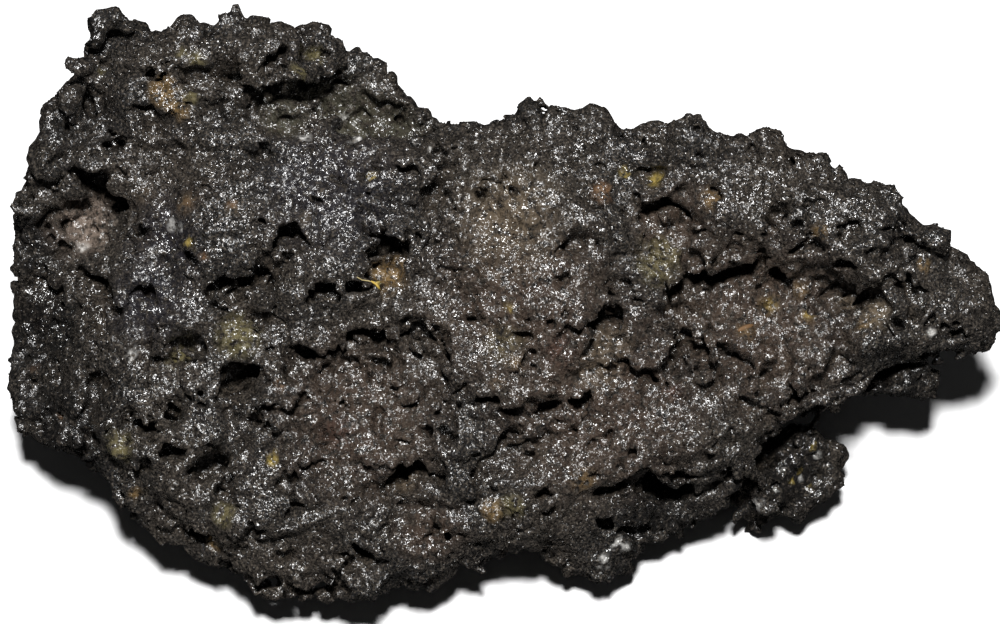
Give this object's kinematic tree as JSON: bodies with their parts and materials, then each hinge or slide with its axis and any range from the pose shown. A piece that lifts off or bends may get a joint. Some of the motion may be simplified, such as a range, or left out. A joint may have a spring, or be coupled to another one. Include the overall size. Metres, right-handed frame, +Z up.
{
  "type": "lava rock",
  "caption": "Loose lump of dark vesicular lava with a broad pitted face, ledges, a jagged plate at one corner and a flat underside to rest on.",
  "frame": {"origin": "under the middle of the rock's box, on the surface that it rests on", "axes": "+Z up, +X along the rock toward its narrow tip, -Y toward the side that the broad face leans to"},
  "size_m": [0.1236, 0.0678, 0.0455],
  "materials": {
    "lava": "rough charcoal crust with glassy glints, brown toward the middle, ochre and olive stains in the hollows"
  },
  "bodies": {
    "root": {"lava_rock": "lava"}
  },
  "joints": []
}
